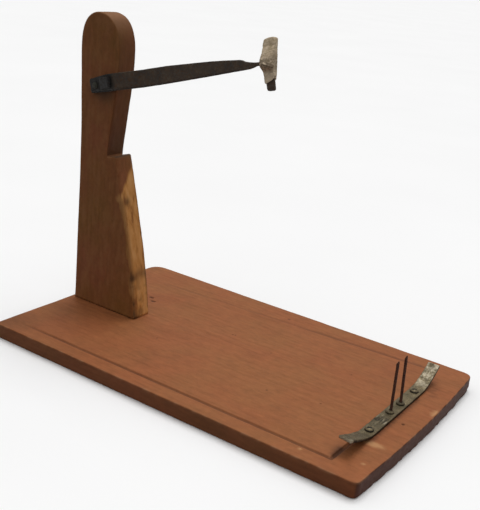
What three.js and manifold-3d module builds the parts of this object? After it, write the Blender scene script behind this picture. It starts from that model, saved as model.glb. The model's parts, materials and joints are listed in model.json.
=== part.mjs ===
// A wooden holding stand: a grooved board, a shaped plank post with an iron arm that ends in a
// tape-wrapped crescent, and a curved iron cradle with two upright nails.
// Millimetres. +X runs from the post to the cradle, +Y runs across the board, +Z is up.
// The origin is the centre of the board's underside. Every X below is measured from the board's
// back end, and the group at the end moves the whole stand onto its origin.

import * as THREE from 'three';
import { mergeVertices } from 'three/addons/utils/BufferGeometryUtils.js';
import Module from 'manifold-3d';

const wasm = await Module();
wasm.setup();

// ---------------------------------------------------------------- driving dimensions

const GAP = 0.3; // clearance between neighbouring pieces

const BOARD_LENGTH = 455.5;
const BOARD_WIDTH = 277;
const BOARD_THICK = 17;
const FRONT_BOW = 4; // how far the middle of the front end stands out past its corners
const CORNER_FRONT_NEAR = 8;
const CORNER_FRONT_FAR = 12;
const CORNER_BACK_FAR = 18;
const CORNER_BACK_NEAR = 6;
const GROOVE_WIDTH = 3.5;
const GROOVE_DEPTH = 3;
// the groove's corners, from the near run's back end round to the far run's back end
const GROOVE_PATH = [[20, -119], [415, -119], [420, 117.5], [28, 93]];

const POST_THICK = 27;
const POST_Y = -8.8; // the post's middle plane
const POST_EDGE_ROUND = 1.5;
const POST_SCREW_X = [30, 70];

const ARM_X = 46; // where the coach screw crosses the arm's centre line
const ARM_HEIGHT = 264.7; // the same point's height above the board's top
const ARM_RISE = THREE.MathUtils.degToRad(14.5);
const ARM_THICK = 4;
const ARM_SET_OVER_START = 59; // where the strap leaves the post's face
const ARM_SET_OVER_END = 80; // where the strap reaches the post's middle plane
const TAIL_SCREW = { x: 30, drop: 1.5, head: 3.9, rise: 2.4, shank: 1.8, length: 22 };
const COACH_SCREW = { x: ARM_X, drop: 0, head: 12, rise: 5, shank: 3.5, length: 22 };
const TANG_RADIUS = 1.9;
const TANG_DROP = 1.3; // how far the tang's axis lies below the arm's centre line
const TANG_ROOT = 182; // where the tang leaves the strap, along the arm from the coach screw

const HEAD_ALONG = 196; // the crescent's middle, along the arm from the coach screw
const HEAD_TURN = THREE.MathUtils.degToRad(11); // how far the crescent is turned from upright
const HEAD_LEAN = THREE.MathUtils.degToRad(0.3); // its lower end stands this far out along the arm
const HEAD_UP = 24.3; // the bar's reach above the tang
const HEAD_DOWN = 25.8; // and below it
const HEAD_RISE = 3.3; // how far the bar's lower end stands back from its middle
const HEAD_THICK = 3;
const SOCKET_RADIUS = 4;
const SOCKET_LENGTH = 7;
const WASHER = { radius: 2.9, thick: 0.6 };
const RIVET = { radius: 2.5, face: 2.2, thick: 1 };
const WRAP_THICK = 1.8;
const BAR_HALVES = { low: 4.5, middle: 4.8, high: 4.1 }; // half the bar's width along its length
const WRAP_HALVES = { low: 5.2, middle: 7, high: 5.9 }; // the same for the tape around it
const WRAP_LOW = -17.6; // the tape's lower border, from the tang
// the tape's bulge over the socket, seen along the arm: across from the tang's axis, and up from it
const WRAP_BULGE = [
  [3.9, 17], [-1.2, 8], [-4.6, 3], [-4.9, -1.5], [-2.6, -4.5], [1, -6.5], [2.9, -8.2],
];

const CRADLE_X = 420.7;
const CRADLE_Y = -6;
const CRADLE_WIDTH = 14;
const CRADLE_THICK = 3;
// each end of the strip: its reach from the middle, how much of that lies flat on the board, the
// height it rises to and how sharply
const CRADLE_ENDS = {
  near: { reach: 104, flat: 57, rise: 15.6, curve: 1.25 },
  far: { reach: 101, flat: 61, rise: 16, curve: 1.6 },
};
const CRADLE_NARROW = 0.5; // how much slimmer each side of the strip is at its far end
const CRADLE_SLANT = 3; // how much further the near end's front corner reaches than its back one
const CRADLE_SCREW_Y = [-56.5, 47];
const CRADLE_SCREW = { head: 4.7, rise: 2.8, shank: 1.9, length: 17 };
const SCREW_SLOT = { width: 1.1, depth: 0.8, turn: 0.6 };

const SPIKE_RADIUS = 1.5;
const SPIKE_TIP = { length: 4, shoulder: 1.6, radius: 0.9 }; // its slimmer part starts at the shoulder
const COLLAR = { radius: 4.5, height: 1.8, rim: 0.8, top: 3.7 };
// each nail's foot, its height above the board's top, its lean towards the post in degrees and
// how far its collar sits off it towards the near edge
const SPIKES = [
  { x: 420.5, y: -9, above: 58.4, lean: 0.9, offset: 2.2 },
  { x: 421, y: 13, above: 56.2, lean: 2.5, offset: 0.8 },
];

// ---------------------------------------------------------------- materials

const metal = (color, roughness) => new THREE.MeshStandardMaterial({ color, roughness, metalness: 0.9 });
const matte = (color, roughness) => new THREE.MeshStandardMaterial({ color, roughness, metalness: 0 });

const boardWood = matte(0x8a5638, 0.62);
const postWood = matte(0x6b4428, 0.66);
const blackIron = metal(0x2b2522, 0.6);
const darkSteel = metal(0x3a3a3c, 0.5);
const greyIron = metal(0x6a6656, 0.5);
const rustyIron = metal(0x3d2114, 0.75);
const screwSteel = metal(0x5f5c4e, 0.45);
const hiddenSteel = metal(0x8d8d88, 0.4);
const clothTape = matte(0x96867a, 0.9);

// ---------------------------------------------------------------- solids

const ROUND = 24; // sides of a round piece
const SMALL_ROUND = 16;
const LONG = 400; // longer than anything a cutter has to pass through

/** A closed three.js geometry as a manifold solid. */
function toSolid(geometry) {
  const bare = geometry.clone();
  bare.deleteAttribute('normal');
  bare.deleteAttribute('uv');
  const merged = mergeVertices(bare, 1e-4);
  return new wasm.Manifold(new wasm.Mesh({
    numProp: 3,
    vertProperties: new Float32Array(merged.attributes.position.array),
    triVerts: new Uint32Array(merged.index.array),
  }));
}

/** A manifold solid as a flat-shaded three.js geometry. */
function toGeometry(solid) {
  const mesh = solid.getMesh();
  const indexed = new THREE.BufferGeometry();
  indexed.setAttribute('position', new THREE.BufferAttribute(mesh.vertProperties, 3));
  indexed.setIndex(new THREE.BufferAttribute(mesh.triVerts, 1));
  const flat = indexed.toNonIndexed();
  flat.computeVertexNormals();
  return flat;
}

/** The first solid with all the others cut out of it. */
function cut(geometry, ...cutters) {
  return toGeometry(cutters.reduce((left, cutter) => left.subtract(toSolid(cutter)), toSolid(geometry)));
}

/** Several overlapping closed geometries as one. */
function join(...geometries) {
  return toGeometry(geometries.map(toSolid).reduce((left, right) => left.add(right)));
}

/** What two closed geometries have in common. */
function common(first, second) {
  return toGeometry(toSolid(first).intersect(toSolid(second)));
}

/** A shape in the XY plane, extruded along Z to both sides of it. */
function prism(shape, depth, options = {}) {
  const settings = { depth, bevelEnabled: false, curveSegments: 10, ...options };
  return new THREE.ExtrudeGeometry(shape, settings).translate(0, 0, -depth / 2);
}

/** Turns a prism so that its outline lies in the XZ plane. */
const upright = (geometry) => geometry.rotateX(Math.PI / 2);

/** Turns a prism so that its outline lies in the YZ plane. */
const crosswise = (geometry) => geometry.rotateX(Math.PI / 2).rotateZ(Math.PI / 2);

/** A body of revolution about Z. The profile's points are [radius, height], from the axis to the axis. */
function turned(profile, sides = ROUND) {
  const points = profile.map(([radius, height]) => new THREE.Vector2(radius, height));
  return new THREE.LatheGeometry(points, sides).rotateX(Math.PI / 2);
}

/** A plain round bar about Z between two heights. */
function rod(radius, low, high, sides = ROUND) {
  return turned([[0, low], [radius, low], [radius, high], [0, high]], sides);
}

/** A ring about Z between two heights. */
function ring(inner, outer, low, high, sides = ROUND) {
  return turned([[inner, low], [outer, low], [outer, high], [inner, high], [inner, low]], sides);
}

/** A closed shape through a list of points. */
const polygon = (points) => new THREE.Shape(points.map(([x, y]) => new THREE.Vector2(x, y)));

/** A wood screw about Z, pointing down, with its head's underside at height 0. */
function domeScrew(headRadius, headHeight, shankRadius, length) {
  const dome = [0, 1, 2, 3, 4].map((step) => {
    const angle = (step / 4) * (Math.PI / 2);
    return [headRadius * Math.cos(angle), headHeight * Math.sin(angle)];
  });
  dome[4][0] = 0;
  const tip = shankRadius * 2.5;
  return turned([[0, -length], [shankRadius, tip - length], [shankRadius, 0], ...dome], SMALL_ROUND);
}

// ---------------------------------------------------------------- board

/** The board's outline: a bowed front end, with its own radius at each corner. */
function boardOutline() {
  const front = BOARD_LENGTH - FRONT_BOW;
  const y = BOARD_WIDTH / 2;
  const shape = new THREE.Shape();
  shape.moveTo(CORNER_BACK_NEAR, -y);
  shape.lineTo(front - CORNER_FRONT_NEAR, -y);
  shape.quadraticCurveTo(front, -y, front, -y + CORNER_FRONT_NEAR);
  shape.quadraticCurveTo(front + 2 * FRONT_BOW, 0, front, y - CORNER_FRONT_FAR);
  shape.quadraticCurveTo(front, y, front - CORNER_FRONT_FAR, y);
  shape.lineTo(CORNER_BACK_FAR, y);
  shape.quadraticCurveTo(0, y, 0, y - CORNER_BACK_FAR);
  shape.lineTo(0, -y + CORNER_BACK_NEAR);
  shape.quadraticCurveTo(0, -y, CORNER_BACK_NEAR, -y);
  return shape;
}

/** One straight run of the groove, with round ends, as a cutter. */
function grooveRun([x0, y0], [x1, y1]) {
  const length = Math.hypot(x1 - x0, y1 - y0);
  const run = new THREE.BoxGeometry(length, GROOVE_WIDTH, 2 * GROOVE_DEPTH);
  const end = rod(GROOVE_WIDTH / 2, -GROOVE_DEPTH, GROOVE_DEPTH, SMALL_ROUND);
  const start = end.clone().translate(-length / 2, 0, 0);
  const joined = join(run, start, end.translate(length / 2, 0, 0));
  joined.rotateZ(Math.atan2(y1 - y0, x1 - x0));
  return joined.translate((x0 + x1) / 2, (y0 + y1) / 2, BOARD_THICK);
}

const SCREW_HEAD = { radius: 4.5, height: 3, rim: 0.4 }; // the post screws' countersunk heads
const POST_SCREW_RADIUS = 2.2;
const POST_SCREW_REACH = 62; // top of the post screws above the underside
const POST_SCREW_TIP = 6;
const NAIL_HEAD = { radius: 3.8, height: 1.5 };
const HEAD_SINK = 0.5; // how far the heads in the underside are set in
const BELOW = -2; // where a cutter that opens the underside starts

/** A countersunk screw that points up, with the face of its head at the set-in depth. */
function postScrewShape(grow = 0) {
  const shank = POST_SCREW_RADIUS + grow;
  return turned([
    [0, HEAD_SINK - grow],
    [SCREW_HEAD.radius + grow, HEAD_SINK - grow],
    [SCREW_HEAD.radius + grow, HEAD_SINK + SCREW_HEAD.rim],
    [shank, HEAD_SINK + SCREW_HEAD.height],
    [shank, POST_SCREW_REACH - POST_SCREW_TIP + grow],
    [0, POST_SCREW_REACH + grow],
  ], SMALL_ROUND);
}

/** Places a nail, its hole or its collar, made about Z, at its foot and at its lean. */
function placeSpike(geometry, { x, y, lean }) {
  const turn = THREE.MathUtils.degToRad(-lean);
  return geometry.translate(0, 0, -BOARD_THICK).rotateY(turn).translate(x, y, BOARD_THICK);
}

/** A nail that points up, with its head set into the board's underside. */
function spikeShape(above) {
  const top = BOARD_THICK + above;
  const headTop = HEAD_SINK + NAIL_HEAD.height;
  return turned([
    [0, HEAD_SINK],
    [NAIL_HEAD.radius, HEAD_SINK],
    [NAIL_HEAD.radius, headTop],
    [SPIKE_RADIUS, headTop],
    [SPIKE_RADIUS, top - SPIKE_TIP.length],
    [SPIKE_TIP.radius, top - SPIKE_TIP.shoulder],
    [0, top],
  ], SMALL_ROUND);
}

/** The hole that a nail and its head need. */
function spikeHole() {
  const head = rod(NAIL_HEAD.radius + GAP, BELOW, HEAD_SINK + NAIL_HEAD.height + GAP, SMALL_ROUND);
  return join(head, rod(SPIKE_RADIUS + GAP, 0, LONG, SMALL_ROUND));
}

/** The hole that a countersunk screw needs, open at the underside. */
function postScrewHole() {
  const recess = rod(SCREW_HEAD.radius + GAP, BELOW, HEAD_SINK + SCREW_HEAD.rim, SMALL_ROUND);
  return join(postScrewShape(GAP), recess);
}

const cradleTop = BOARD_THICK + GAP + CRADLE_THICK;

function boardGeometry() {
  const slab = prism(boardOutline(), BOARD_THICK).translate(0, 0, BOARD_THICK / 2);
  const runs = GROOVE_PATH.slice(1).map((end, index) => grooveRun(GROOVE_PATH[index], end));
  const nails = SPIKES.map((spike) => placeSpike(spikeHole(), spike));
  const postScrews = POST_SCREW_X.map((x) => postScrewHole().translate(x, POST_Y, 0));
  const floor = cradleTop - CRADLE_SCREW.length;
  const cradleScrews = CRADLE_SCREW_Y.map((y) => (
    rod(CRADLE_SCREW.shank + GAP, floor, LONG, SMALL_ROUND).translate(CRADLE_X, y, 0)
  ));
  return cut(slab, ...runs, ...nails, ...postScrews, ...cradleScrews);
}

// ---------------------------------------------------------------- post

const postFoot = BOARD_THICK + GAP;

/** The post's outline in the XZ plane, with its foot at height 0. */
function postOutline() {
  const shape = new THREE.Shape();
  shape.moveTo(4.9, 0);
  shape.lineTo(99.8, 0);
  shape.quadraticCurveTo(94.2, 58, 59.9, 182);
  shape.quadraticCurveTo(59, 184, 57, 183.6);
  shape.lineTo(47.5, 181);
  shape.bezierCurveTo(48, 198, 52.6, 228, 55.4, 249);
  shape.bezierCurveTo(57.9, 270, 59.4, 292, 57.3, 308);
  shape.bezierCurveTo(54.6, 325, 44, 336.5, 28, 336.5);
  shape.bezierCurveTo(12, 336.5, 2.3, 325, 2.3, 300);
  shape.bezierCurveTo(2.3, 270, 6.4, 215, 6.3, 150);
  shape.closePath();
  return shape;
}

const armSlope = Math.tan(ARM_RISE);
const armZ = (x) => BOARD_THICK + ARM_HEIGHT + (x - ARM_X) * armSlope;
const postNearFace = POST_Y - POST_THICK / 2;
const strapNearFace = postNearFace - GAP - ARM_THICK;

/** Turns a piece made about Z so that it points into the post from its near face. */
const intoPost = (geometry) => geometry.rotateX(Math.PI / 2);

/** Puts a screw, or its hole, at its place on the strap. */
function placeOnArm(geometry, { x, drop }) {
  return intoPost(geometry).translate(x, strapNearFace - GAP, armZ(x) - drop);
}

/** A screw's clearance hole through the strap and into the post. */
function armHole(screw) {
  const hole = rod(screw.shank + GAP, -screw.length - GAP, ARM_THICK, SMALL_ROUND);
  return placeOnArm(hole, screw);
}

function postGeometry() {
  const plank = prism(postOutline(), POST_THICK - 2 * POST_EDGE_ROUND, {
    bevelEnabled: true,
    bevelSize: POST_EDGE_ROUND,
    bevelOffset: -POST_EDGE_ROUND,
    bevelThickness: POST_EDGE_ROUND,
    bevelSegments: 2,
  });
  upright(plank).translate(0, POST_Y, postFoot);
  const footScrews = POST_SCREW_X.map((x) => postScrewHole().translate(x, POST_Y, 0));
  return cut(plank, ...footScrews, armHole(COACH_SCREW), armHole(TAIL_SCREW));
}

// ---------------------------------------------------------------- arm

const socketHigh = SOCKET_LENGTH / 2;
const washerLow = socketHigh + GAP;
const washerHigh = washerLow + WASHER.thick;
const rivetEnd = washerHigh + GAP + RIVET.thick; // all four from the crescent's middle along the tang

/** Places a piece given along the arm (X), across its height (Z) and its thickness (Y). */
const alongArm = (geometry) => geometry.rotateY(-ARM_RISE).translate(ARM_X, POST_Y, BOARD_THICK + ARM_HEIGHT);

/** The strap's side view: its reach above and below its centre line at stations along the arm. */
function strapSide() {
  const stations = [
    [-25, 5.2, 8.6], [-24, 6.2, 9.4], [-2, 8.6, 9.8], [35, 8.8, 10], [72, 9.2, 9.2], [129, 7.6, 7.2],
    [152, 6.2, 6.2], [164, 5.2, 5.7], [168, 4.4, 5.6], [171, 2.8, 5.5], [176.5, 1.6, 5.1], [180, 1, 4.4],
    [184.8, 0.5, 3.1],
  ];
  const upper = stations.map(([along, up]) => [along, up]).reverse();
  const lower = stations.map(([along, , down]) => [along, -down]);
  return alongArm(upright(prism(polygon([...lower, ...upper]), LONG)));
}

/** The strap's plan view: flat on the post, then set over to the post's middle plane. */
function strapPlan() {
  const inner = [
    [0, postNearFace - GAP],
    [ARM_SET_OVER_START, postNearFace - GAP],
    [ARM_SET_OVER_END, POST_Y + ARM_THICK / 2],
    [LONG, POST_Y + ARM_THICK / 2],
  ];
  const bend = Math.atan2(inner[2][1] - inner[1][1], inner[2][0] - inner[1][0]);
  const shift = ARM_THICK * Math.tan(bend / 2);
  const outer = inner.map(([x, y], index) => [x + (index % 3 ? shift : 0), y - ARM_THICK]).reverse();
  return prism(polygon([...outer, ...inner]), LONG).translate(0, 0, BOARD_THICK + ARM_HEIGHT);
}

function armGeometry() {
  const strap = common(strapSide(), strapPlan());
  const tangEnd = HEAD_ALONG + rivetEnd;
  const rivet = tangEnd - RIVET.thick;
  const tang = turned([
    [0, TANG_ROOT], [TANG_RADIUS, TANG_ROOT], [TANG_RADIUS, rivet],
    [RIVET.radius, rivet], [RIVET.face, tangEnd], [0, tangEnd],
  ], SMALL_ROUND).rotateY(Math.PI / 2).translate(0, 0, -TANG_DROP);
  const forged = join(strap, alongArm(tang));
  return cut(forged, armHole(COACH_SCREW), armHole(TAIL_SCREW));
}

function coachScrewGeometry() {
  const { head, rise, shank, length } = COACH_SCREW;
  const half = head / 2;
  const square = polygon([[-half, -half], [half, -half], [half, half], [-half, half]]);
  const chamfer = { wide: 0.8, high: 0.5 };
  const cap = prism(square, rise - 2 * chamfer.high, {
    bevelEnabled: true,
    bevelSize: chamfer.wide,
    bevelOffset: -chamfer.wide,
    bevelThickness: chamfer.high,
    bevelSegments: 1,
  }).rotateZ(ARM_RISE).translate(0, 0, rise / 2);
  const point = 2 * shank; // length of the screw's pointed end
  const stem = turned([[0, -length], [shank, point - length], [shank, 1], [0, 1]], SMALL_ROUND);
  return placeOnArm(join(cap, stem), COACH_SCREW);
}

function tailScrewGeometry() {
  const { head, rise, shank, length } = TAIL_SCREW;
  return placeOnArm(domeScrew(head, rise, shank, length), TAIL_SCREW);
}

// ---------------------------------------------------------------- head

// The head's own frame: X along the arm, Z up the crescent, +Y the way its ends curve.
// Its origin is on the tang's axis at the crescent's middle.

/** Places a piece that is round about the tang. */
const placeOnTang = (geometry) => alongArm(geometry.translate(HEAD_ALONG, 0, -TANG_DROP));

/** Places a piece given in the head's own frame. */
const placeHead = (geometry) => placeOnTang(geometry.rotateX(-HEAD_TURN));

const barMiddle = SOCKET_RADIUS + GAP + HEAD_THICK / 2; // from the tang's axis to the bar's middle

/** The band between two arcs, seen along the arm, as a wide prism. */
function crescent(thick, low, high) {
  const steps = 14;
  const inner = [];
  const outer = [];
  for (let step = 0; step <= steps; step += 1) {
    const z = low + ((high - low) * step) / steps;
    const slope = (2 * HEAD_RISE * z) / HEAD_DOWN ** 2;
    const middle = barMiddle + (HEAD_RISE * z * z) / HEAD_DOWN ** 2;
    const length = Math.hypot(1, slope);
    inner.push([middle + thick / 2 / length, z - (slope * thick) / 2 / length]);
    outer.push([middle - thick / 2 / length, z + (slope * thick) / 2 / length]);
  }
  return crosswise(prism(polygon([...outer, ...inner.reverse()]), LONG));
}

/** The broad outline of the bar or its tape, from its half widths at the low end, the tang and the top. */
function headOutline(low, high, halves, grow = 0) {
  const soft = 2.2; // the corners' rounding
  const waist = 3; // height of the widest place
  const foot = halves.low + grow;
  const middle = halves.middle + grow;
  const top = halves.high + grow;
  const shape = new THREE.Shape();
  shape.moveTo(-foot + soft, low);
  shape.lineTo(foot - soft, low);
  shape.quadraticCurveTo(foot, low, foot, low + soft);
  shape.quadraticCurveTo(middle, -waist, middle, waist);
  shape.quadraticCurveTo(middle, 3 * waist, top, high - soft);
  shape.quadraticCurveTo(top, high, top - soft, high);
  shape.lineTo(-top + soft, high);
  shape.quadraticCurveTo(-top, high, -top, high - soft);
  shape.quadraticCurveTo(-middle, 3 * waist, -middle, waist);
  shape.quadraticCurveTo(-middle, -waist, -foot, low + soft);
  shape.quadraticCurveTo(-foot, low, -foot + soft, low);
  return upright(prism(shape, LONG)).rotateY(-HEAD_LEAN);
}

/** The bar itself, or a larger copy of it as a cutter. */
function barShape(grow = 0) {
  const low = -HEAD_DOWN - grow;
  const high = HEAD_UP + grow;
  return common(crescent(HEAD_THICK + 2 * grow, low - 1, high + 1), headOutline(low, high, BAR_HALVES, grow));
}

const headBarGeometry = () => placeHead(barShape());

function headSocketGeometry() {
  const tube = ring(TANG_RADIUS + GAP, SOCKET_RADIUS, -socketHigh, socketHigh, SMALL_ROUND);
  return placeHead(tube.rotateY(Math.PI / 2));
}

function tangWasherGeometry() {
  const washer = ring(TANG_RADIUS + GAP, WASHER.radius, washerLow, washerHigh, SMALL_ROUND);
  return placeOnTang(washer.rotateY(Math.PI / 2));
}

/** The tape as one closed sleeve over the bar, with a bulge over socket and rivet. */
function headWrapGeometry() {
  const high = HEAD_UP + WRAP_THICK;
  const band = crescent(HEAD_THICK + 2 * WRAP_THICK, WRAP_LOW - 1, high + 1);
  const sleeve = common(band, headOutline(WRAP_LOW, high, WRAP_HALVES));
  const [top, bottom] = [WRAP_BULGE[0], WRAP_BULGE.at(-1)].map(([, up]) => [barMiddle, up]);
  const bulge = crosswise(prism(polygon([top, ...WRAP_BULGE, bottom]), LONG));
  const along = (geometry) => geometry.rotateY(Math.PI / 2);
  const tangWay = along(rod(TANG_RADIUS + GAP, -LONG, socketHigh, SMALL_ROUND));
  const socketWay = along(rod(SOCKET_RADIUS + GAP, -socketHigh - GAP, socketHigh + GAP, SMALL_ROUND));
  const rivetWay = along(rod(WASHER.radius + GAP, socketHigh, rivetEnd + GAP, SMALL_ROUND));
  const full = join(sleeve, common(bulge, headOutline(WRAP_LOW, high, WRAP_HALVES)));
  return placeHead(cut(full, barShape(GAP), tangWay, socketWay, rivetWay));
}

// ---------------------------------------------------------------- cradle

/** Height of the strip's underside above the board, at a place along it. */
function cradleLift(y) {
  const { reach, flat, rise, curve } = y < 0 ? CRADLE_ENDS.near : CRADLE_ENDS.far;
  return rise * Math.max(0, (Math.abs(y) - flat) / (reach - flat)) ** curve;
}

/** The strip seen along X: flat in the middle, curving up to both ends. */
function cradleSide() {
  const steps = 28;
  const nearby = 0.1; // half the distance over which the slope is taken
  const start = -CRADLE_ENDS.near.reach;
  const length = CRADLE_ENDS.far.reach - start;
  const under = [];
  const over = [];
  for (let step = 0; step <= steps; step += 1) {
    const y = start + (length * step) / steps;
    const slope = (cradleLift(y + nearby) - cradleLift(y - nearby)) / (2 * nearby);
    const across = CRADLE_THICK / Math.hypot(1, slope);
    under.push([y, cradleLift(y)]);
    over.push([y - slope * across, cradleLift(y) + across]);
  }
  return crosswise(prism(polygon([...under, ...over.reverse()]), LONG));
}

/** The strip seen from above: its far end narrows a little, and its near end is cut at a slant. */
function cradlePlan() {
  const half = CRADLE_WIDTH / 2;
  const { near, far } = CRADLE_ENDS;
  const narrow = half - CRADLE_NARROW;
  return prism(polygon([
    [half, far.flat], [narrow, far.reach + 1], [-narrow, far.reach + 1], [-half, far.flat],
    [-half, CRADLE_SLANT - near.reach], [narrow, -near.reach], [half, -near.flat],
  ]), LONG);
}

function cradleGeometry() {
  const strip = common(cradleSide(), cradlePlan()).translate(CRADLE_X, CRADLE_Y, BOARD_THICK + GAP);
  const through = (radius) => rod(radius + GAP, 0, LONG, SMALL_ROUND);
  const screwHoles = CRADLE_SCREW_Y.map((y) => through(CRADLE_SCREW.shank).translate(CRADLE_X, y, 0));
  const nailHoles = SPIKES.map((spike) => placeSpike(through(SPIKE_RADIUS), spike));
  return cut(strip, ...screwHoles, ...nailHoles);
}

function cradleScrewGeometry(y) {
  const { head, rise, shank, length } = CRADLE_SCREW;
  const { width, depth, turn } = SCREW_SLOT;
  const slot = new THREE.BoxGeometry(2 * head, width, 2 * depth).rotateZ(turn).translate(0, 0, rise);
  return cut(domeScrew(head, rise, shank, length), slot).translate(CRADLE_X, y, cradleTop + GAP);
}

/** The flat round collar at a nail's foot, resting on the strip. */
function collarGeometry(spike) {
  const { radius, height, rim, top } = COLLAR;
  const foot = cradleTop + GAP;
  const bead = turned([
    [0, foot], [radius, foot], [radius, foot + rim], [top, foot + height], [0, foot + height],
  ]).translate(spike.x, spike.y - spike.offset, 0);
  return cut(bead, placeSpike(rod(SPIKE_RADIUS + GAP, 0, LONG, SMALL_ROUND), spike));
}

// ---------------------------------------------------------------- assembly

const stand = new THREE.Group();

function add(name, geometry, material) {
  const mesh = new THREE.Mesh(geometry, material);
  mesh.name = name;
  stand.add(mesh);
}

add('base_board', boardGeometry(), boardWood);
add('post', postGeometry(), postWood);
POST_SCREW_X.forEach((x, index) => {
  add(`post_screw_${index + 1}`, postScrewShape().translate(x, POST_Y, 0), hiddenSteel);
});
add('arm_strap', armGeometry(), blackIron);
add('arm_coach_screw', coachScrewGeometry(), darkSteel);
add('arm_tail_screw', tailScrewGeometry(), screwSteel);
add('tang_washer', tangWasherGeometry(), hiddenSteel);
add('head_socket', headSocketGeometry(), blackIron);
add('head_bar', headBarGeometry(), blackIron);
add('head_wrap', headWrapGeometry(), clothTape);
add('cradle_strip', cradleGeometry(), greyIron);
CRADLE_SCREW_Y.forEach((y, index) => {
  add(`cradle_screw_${index + 1}`, cradleScrewGeometry(y), screwSteel);
});
SPIKES.forEach((spike, index) => {
  add(`spike_${index + 1}`, placeSpike(spikeShape(spike.above), spike), rustyIron);
  add(`spike_collar_${index + 1}`, collarGeometry(spike), greyIron);
});
stand.position.x = -BOARD_LENGTH / 2;

export default stand;
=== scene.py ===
"""A wooden holding stand: a grooved board, a shaped post, a forged arm with a tape-wrapped crescent,
and a curved iron cradle with two nails.

The script's own lengths are millimetres in the frame's axes; a mesh takes them as metres.
"""

import json
import math

import bmesh
import bpy
import numpy as np
from mathutils import Matrix, Vector, geometry, noise


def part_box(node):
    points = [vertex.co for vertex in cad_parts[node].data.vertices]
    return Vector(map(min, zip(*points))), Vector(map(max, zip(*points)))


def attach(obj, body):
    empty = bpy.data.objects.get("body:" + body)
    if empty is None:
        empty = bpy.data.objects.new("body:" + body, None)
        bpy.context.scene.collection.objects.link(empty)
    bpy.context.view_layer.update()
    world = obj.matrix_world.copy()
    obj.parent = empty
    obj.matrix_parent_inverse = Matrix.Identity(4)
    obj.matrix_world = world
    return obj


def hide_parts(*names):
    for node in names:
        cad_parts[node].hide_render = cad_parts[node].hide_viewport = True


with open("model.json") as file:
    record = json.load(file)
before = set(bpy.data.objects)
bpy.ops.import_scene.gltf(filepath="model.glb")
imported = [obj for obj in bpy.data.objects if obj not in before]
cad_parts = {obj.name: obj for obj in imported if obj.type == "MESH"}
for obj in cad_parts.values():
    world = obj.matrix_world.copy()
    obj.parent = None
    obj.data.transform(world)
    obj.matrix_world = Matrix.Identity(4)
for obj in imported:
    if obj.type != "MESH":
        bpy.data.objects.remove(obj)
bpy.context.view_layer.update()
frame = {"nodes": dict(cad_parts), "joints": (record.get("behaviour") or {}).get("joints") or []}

MM = 0.001


def corners(node):
    """A CAD node's lowest and highest corner in millimetres."""
    return [np.array(corner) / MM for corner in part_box(node)]


BOARD_LOW, BOARD_HIGH = corners("base_board")
POST_LOW, POST_HIGH = corners("post")
BACK = BOARD_LOW[0]  # X of the board's back end
TOP = BOARD_HIGH[2]  # height of the board's top

SWIVEL = frame["joints"][0]
TANG = np.array(SWIVEL["pos_m"]) / MM  # the crescent's middle, on the tang's axis
ARM_RISE = math.atan2(SWIVEL["axis"][2], SWIVEL["axis"][0])
HEAD_TURN = math.radians(11)  # how far the crescent is turned from upright
BAR_MIDDLE = 5.8  # from the tang's axis to the middle of the crescent's bar
SLOT_TURN = 0.6  # how far the slots of the cradle's screws are turned from X

# On the board, places are X from its back end and Y.
# the groove's corners, and each run's half width, depth and darkening: grime and painted shade in the
# hollow
GROOVE = [(20, -119), (415, -119), (420, 117.5), (28, 93)]
RUNS = [(2.4, 1.6, 0.55), (2.4, 1.5, 0.5), (3.2, 0.9, 0.4)]
# small dents in the board's top: place, radius and depth
DENTS = [
    (69, 45, 2.2, 1.8), (72, 45, 2.0, 1.6), (78, 37, 2.2, 1.8), (81, 37.5, 2.0, 1.5),
    (204, 30, 1.4, 0.6), (207, 31, 1.3, 0.6), (305, -54, 1.5, 0.5), (359, -39, 1.3, 0.6),
    (438, -17, 1.9, 1.6), (227, 116, 2.2, 0.5), (262, 21, 1.4, 0.3), (150, -40, 1.5, 0.3),
    (352, 40, 1.3, 0.3),
]
# spots where the board's pale wood shows: place, half length along X and along Y
PALE = [(433, -71, 12, 4.5), (441, -107, 1.4, 1.1), (387, -124, 1.4, 1.0), (453, 25, 2, 9)]
# painted shadows along short lines: start, end, width and strength. The first, under the strip's raised
# near end, fills the groove's front end; the second lies along the iron strip
STRIP_SHADOWS = [((414, -112), (413, -98), 3.8, 0.7), ((428.5, -70), (428.5, 40), 2.4, 0.6)]
FAR_END_SHADOW = ((434, 58), (434, 76), 6, 0.3)  # a painted shadow under the strip's far end, in patches, given the same way

# On the post, heights are above the board's top.
BARE_TOP = (142, 173)  # the upper border of its pale face, at the near and far arris
NOTCH = 183  # the ledge in its front

# the small iron pieces: each one's material slot and finish
SMALL_IRON = {
    "arm_coach_screw": ("dark_steel", "dark_steel"), "arm_tail_screw": ("screw_steel", "tail_steel"),
    "cradle_screw_1": ("screw_steel", "screw_steel"), "cradle_screw_2": ("screw_steel", "screw_steel"),
    "spike_1": ("rusty_iron", "rusty_iron"), "spike_2": ("rusty_iron", "rusty_iron"),
    "spike_collar_1": ("grey_iron", "screw_steel"), "spike_collar_2": ("grey_iron", "collar_iron"),
}

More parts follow.
